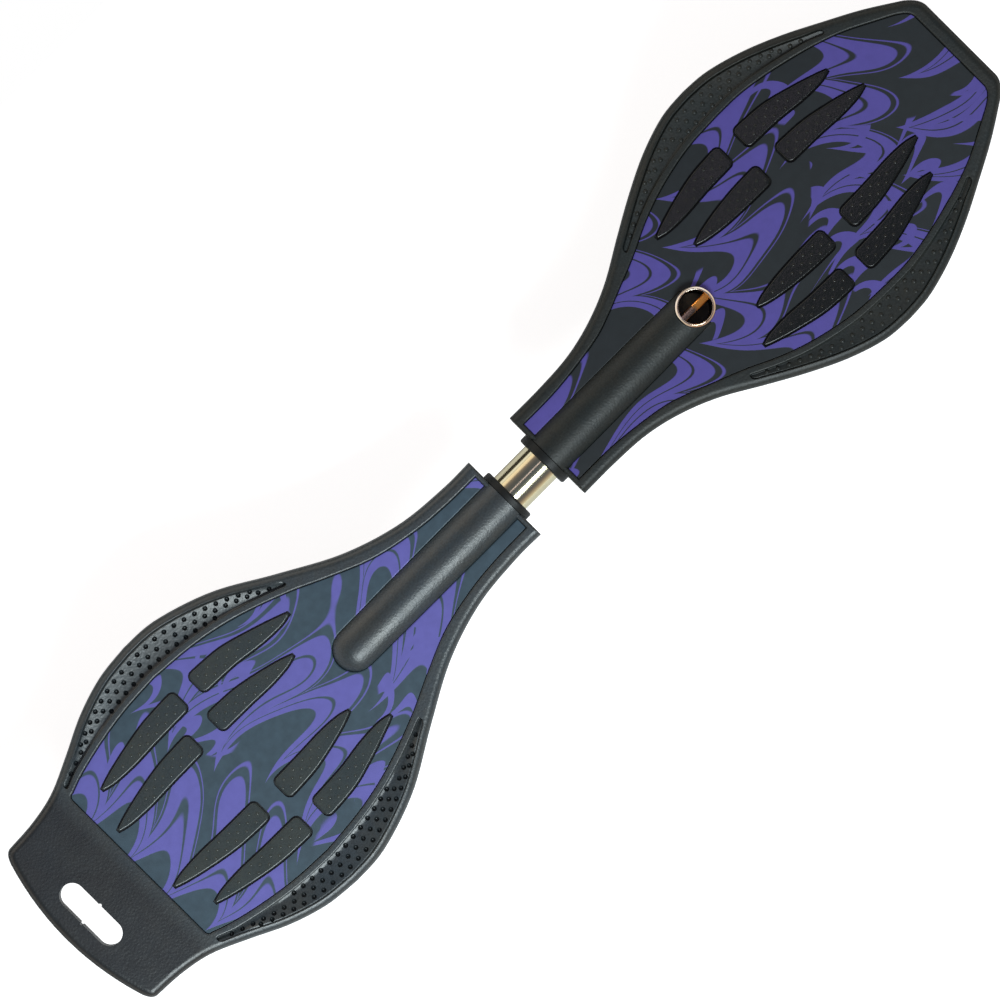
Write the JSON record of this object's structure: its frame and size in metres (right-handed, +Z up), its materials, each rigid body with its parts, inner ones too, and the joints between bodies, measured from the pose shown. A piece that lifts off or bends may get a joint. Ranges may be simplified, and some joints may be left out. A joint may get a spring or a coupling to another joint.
{
  "type": "caster board",
  "caption": "Twisting two-deck caster board: ribbed black decks with inset panels and claw pads, joined by a sprung chrome tube, each on an inclined swivel caster.",
  "frame": {"origin": "on the floor under the middle of the board's length and width", "axes": "+X to the nose, +Y to the rider's left when facing the nose, +Z up"},
  "size_m": [0.865, 0.226, 0.1354],
  "materials": {
    "deck": "black moulded plastic, satin on the rims, fine grain on the tail",
    "front_panel": "charcoal panel with violet print",
    "rear_panel": "slate panel with violet print",
    "chrome": "polished",
    "rod": "drawn spring steel with a straw temper colour",
    "steel": "zinc plated",
    "dark_steel": "black powder coat",
    "nylon": "black nylon, satin",
    "tyre": "cast polyurethane, satin",
    "hub": "glass-filled nylon"
  },
  "bodies": {
    "front_deck": {"front_deck": "deck", "front_panel": "front_panel", "torsion_tube": "chrome", "torsion_rod": "rod", "lock_sleeve": "chrome", "sleeve_plug": "nylon", "front_neck_collar": "nylon", "tube_snap_ring": "steel", "tube_screw_1": "dark_steel", "tube_screw_2": "dark_steel", "front_mount_plate": "dark_steel", "front_plate_screw_1": "steel", "front_plate_screw_2": "steel", "front_plate_screw_3": "steel", "front_plate_screw_4": "steel", "front_kingpin": "steel", "front_kingpin_nut": "steel", "front_thrust_bearing": "steel"},
    "rear_deck": {"rear_deck": "deck", "rear_panel": "rear_panel", "rear_neck_bush": "nylon", "rear_inner_bush": "nylon", "rod_anchor_block": "steel", "anchor_screw_1": "dark_steel", "anchor_screw_2": "dark_steel", "rear_mount_plate": "dark_steel", "rear_plate_screw_1": "steel", "rear_plate_screw_2": "steel", "rear_plate_screw_3": "steel", "rear_plate_screw_4": "steel", "rear_kingpin": "steel", "rear_kingpin_nut": "steel", "rear_thrust_bearing": "steel"},
    "front_caster": {"front_fork": "dark_steel", "front_bearing_spacer": "steel", "front_axle_bolt": "steel", "front_axle_nut": "steel"},
    "rear_caster": {"rear_fork": "dark_steel", "rear_bearing_spacer": "steel", "rear_axle_bolt": "steel", "rear_axle_nut": "steel"},
    "front_wheel": {"front_tyre": "tyre", "front_hub": "hub", "front_bearing_left": "steel", "front_bearing_right": "steel"},
    "rear_wheel": {"rear_tyre": "tyre", "rear_hub": "hub", "rear_bearing_left": "steel", "rear_bearing_right": "steel"}
  },
  "joints": [
    {"name": "deck_twist", "type": "hinge", "parent": "front_deck", "child": "rear_deck", "pos_m": [0, 0, 0.1039], "axis": [1, 0, 0], "range_deg": [-25, 25], "stiffness_Nm_per_rad": 32},
    {"name": "front_swivel", "type": "hinge", "parent": "front_deck", "child": "front_caster", "pos_m": [0.2717, 0, 0.07163], "axis": [0.5, 0, 0.866], "continuous": true},
    {"name": "rear_swivel", "type": "hinge", "parent": "rear_deck", "child": "rear_caster", "pos_m": [-0.2553, 0, 0.07163], "axis": [0.5, 0, 0.866], "continuous": true},
    {"name": "front_wheel_spin", "type": "hinge", "parent": "front_caster", "child": "front_wheel", "pos_m": [0.21995, 0, 0.038], "axis": [0, 1, 0], "continuous": true},
    {"name": "rear_wheel_spin", "type": "hinge", "parent": "rear_caster", "child": "rear_wheel", "pos_m": [-0.30705, 0, 0.038], "axis": [0, 1, 0], "continuous": true}
  ]
}
